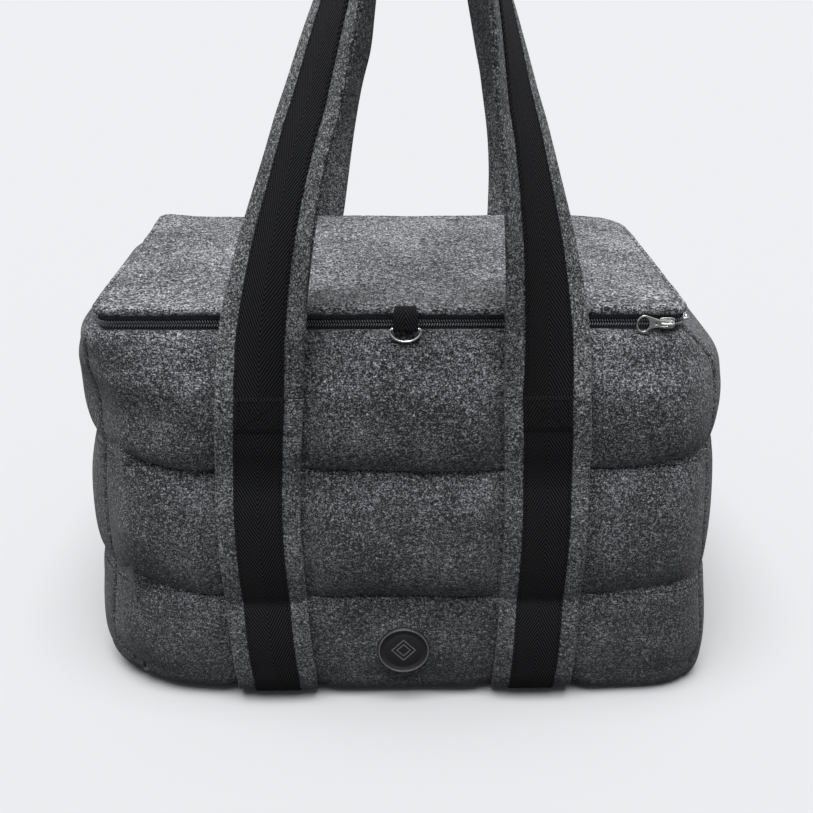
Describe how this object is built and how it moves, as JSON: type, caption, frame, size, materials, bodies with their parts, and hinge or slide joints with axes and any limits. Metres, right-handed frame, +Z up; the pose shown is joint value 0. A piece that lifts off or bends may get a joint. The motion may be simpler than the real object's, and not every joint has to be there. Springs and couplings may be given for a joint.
{
  "type": "weekender bag",
  "caption": "Quilted grey wool-felt carry bag with a flat zipped lid, two long webbing-faced felt handles, a D-ring on a tab, a round badge and a stiffened base.",
  "frame": {"origin": "on the floor, under the middle of the bag", "axes": "+X to the right as the front is looked at, +Y from front to back, +Z up; the badge and the ring tab are on the front, at -Y"},
  "size_m": [0.54, 0.4152, 0.6941],
  "materials": {
    "felt_grey": "heather grey boiled wool felt, matt, with light and dark fibres",
    "strap_felt": "the same wool felt, doubled, with a pressed edge",
    "webbing_black": "black herringbone cotton webbing",
    "wadding": "white polyester wadding",
    "lining_black": "plain woven dark grey lining",
    "board": "black polypropylene stiffener board",
    "zip_tape_black": "black woven zip tape",
    "zip_coil_black": "black nylon coil",
    "nickel": "polished nickel plate on die-cast zinc and steel wire",
    "badge_leather": "black embossed leather, satin"
  },
  "bodies": {
    "root": {"front_panel": "felt_grey", "back_panel": "felt_grey", "left_gusset": "felt_grey", "right_gusset": "felt_grey", "base_panel": "felt_grey", "front_wadding": "wadding", "back_wadding": "wadding", "left_wadding": "wadding", "right_wadding": "wadding", "base_wadding": "wadding", "front_lining": "lining_black", "back_lining": "lining_black", "left_lining": "lining_black", "right_lining": "lining_black", "base_lining": "lining_black", "base_board": "board", "base_mat": "felt_grey", "rim_binding": "felt_grey", "front_strap_felt": "strap_felt", "back_strap_felt": "strap_felt", "base_strap_felt": "strap_felt", "front_strap_webbing": "webbing_black", "back_strap_webbing": "webbing_black", "base_strap_webbing": "webbing_black", "front_webbing_laps": "webbing_black", "back_webbing_laps": "webbing_black", "zip_lower_tape": "zip_tape_black", "zip_lower_coil": "zip_coil_black", "zip_end_tabs": "zip_tape_black", "lid_hinge_strip": "felt_grey", "badge": "badge_leather"},
    "lid": {"lid_panel": "felt_grey", "lid_hem": "felt_grey", "lid_wadding": "wadding", "lid_lining": "lining_black", "zip_upper_tape": "zip_tape_black", "zip_upper_coil": "zip_coil_black"},
    "ring_tab": {"ring_tab": "webbing_black"},
    "d_ring": {"d_ring": "nickel"},
    "front_slider": {"front_slider_body": "nickel", "front_slider_crown": "nickel"},
    "front_pull": {"front_pull_tab": "nickel"},
    "side_slider": {"side_slider_body": "nickel", "side_slider_crown": "nickel"},
    "side_pull": {"side_pull_tab": "nickel"},
    "front_handle": {"front_handle_felt": "strap_felt", "front_handle_webbing": "webbing_black"},
    "back_handle": {"back_handle_felt": "strap_felt", "back_handle_webbing": "webbing_black"}
  },
  "joints": [
    {"name": "lid_hinge", "type": "hinge", "parent": "root", "child": "lid", "pos_m": [0, 0.144, 0.3563], "axis": [-1, 0, 0], "range_deg": [0, 80]},
    {"name": "front_handle_fold", "type": "hinge", "parent": "root", "child": "front_handle", "pos_m": [0, -0.1781, 0.3023], "axis": [1, 0, 0], "range_deg": [-4, 130]},
    {"name": "back_handle_fold", "type": "hinge", "parent": "root", "child": "back_handle", "pos_m": [0, 0.1781, 0.3023], "axis": [-1, 0, 0], "range_deg": [-4, 130]},
    {"name": "ring_tab_swing", "type": "hinge", "parent": "lid", "child": "ring_tab", "pos_m": [0.009, -0.1503, 0.3654], "axis": [-1, 0, 0], "range_deg": [0, 150]},
    {"name": "d_ring_swing", "type": "hinge", "parent": "ring_tab", "child": "d_ring", "pos_m": [0.009, -0.1586, 0.3505], "axis": [-1, 0, 0], "range_deg": [0, 140]},
    {"name": "front_slider_run", "type": "slide", "parent": "root", "child": "front_slider", "axis": [-1, 0, 0], "range_m": [0, 0.43]},
    {"name": "front_pull_swing", "type": "hinge", "parent": "front_slider", "child": "front_pull", "pos_m": [0.2195, -0.1511, 0.351], "axis": [0, 0, 1], "range_deg": [0, 170]},
    {"name": "side_slider_run", "type": "slide", "parent": "root", "child": "side_slider", "axis": [0, 1, 0], "range_m": [0, 0.255]},
    {"name": "side_pull_swing", "type": "hinge", "parent": "side_slider", "child": "side_pull", "pos_m": [0.2361, -0.1345, 0.351], "axis": [0, 0, -1], "range_deg": [0, 170]}
  ]
}
